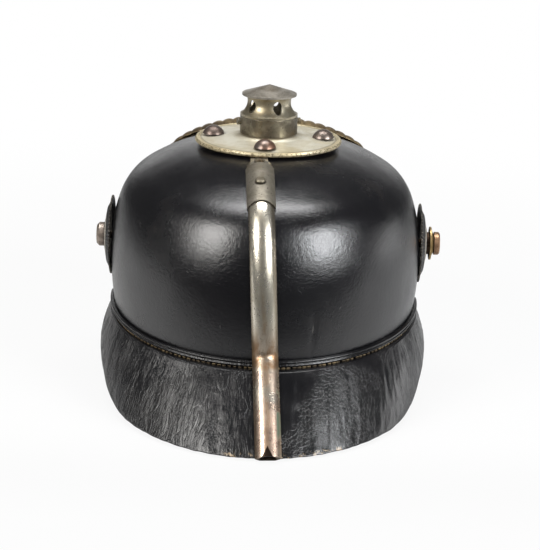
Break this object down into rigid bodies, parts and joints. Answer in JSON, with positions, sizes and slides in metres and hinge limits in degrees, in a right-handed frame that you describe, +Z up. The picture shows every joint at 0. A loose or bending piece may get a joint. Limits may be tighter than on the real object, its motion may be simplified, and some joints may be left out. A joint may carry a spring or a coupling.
{
  "type": "spiked leather helmet",
  "caption": "Black leather helmet with front and rear visors, a round base plate with a bare vented spike neck, a rear spine with a vent slide, and an eagle plate.",
  "frame": {"origin": "on the axis of the spike neck, at the height of the surface that the visors stand on", "axes": "+Z up through the spike neck, +Y towards the rear visor, the front plate faces -Y"},
  "size_m": [0.2091, 0.3016, 0.1808],
  "materials": {
    "skull_leather": "black lacquered leather, gloss",
    "visor_leather": "black crazed leather, satin",
    "liner_leather": "brown vegetable-tanned leather, matt",
    "nickel_steel": "aged nickel-plated steel",
    "dark_steel": "mottled dark steel",
    "brass": "aged brass",
    "plate_metal": "tarnished gilt plate",
    "cockade_metal": "painted sheet metal, worn at the teeth",
    "copper_steel": "reddish brown worn post head"
  },
  "bodies": {
    "helmet": {"skull": "skull_leather", "front_band": "visor_leather", "rear_band": "visor_leather", "front_visor": "visor_leather", "rear_visor": "visor_leather", "front_trim": "nickel_steel", "base_plate": "nickel_steel", "bayonet_collar": "dark_steel", "bayonet_lugs": "dark_steel", "vent_neck": "nickel_steel", "neck_cap": "nickel_steel", "crown_studs": "dark_steel", "stud_washers": "brass", "rear_spine": "nickel_steel", "eagle_plate": "plate_metal", "plate_loops": "brass", "plate_wedges": "liner_leather", "cockade_left": "cockade_metal", "cockade_right": "cockade_metal", "post_left": "nickel_steel", "post_right": "copper_steel", "post_washers": "brass", "post_nuts": "brass", "liner": "liner_leather"},
    "vent_slide": {"vent_slide": "nickel_steel", "slide_knob": "nickel_steel", "slide_keeper": "nickel_steel"},
    "strap_ring": {"strap_ring": "brass"}
  },
  "joints": [
    {"name": "vent_slide_travel", "type": "hinge", "parent": "helmet", "child": "vent_slide", "pos_m": [-0.00079, 0.0274, 0.01462], "axis": [0.9983, 0.033, -0.0472], "range_deg": [0, 4.2]},
    {"name": "strap_ring_turn", "type": "hinge", "parent": "helmet", "child": "strap_ring", "pos_m": [-0.101, 0, 0.0843], "axis": [1, 0, 0], "continuous": true}
  ]
}
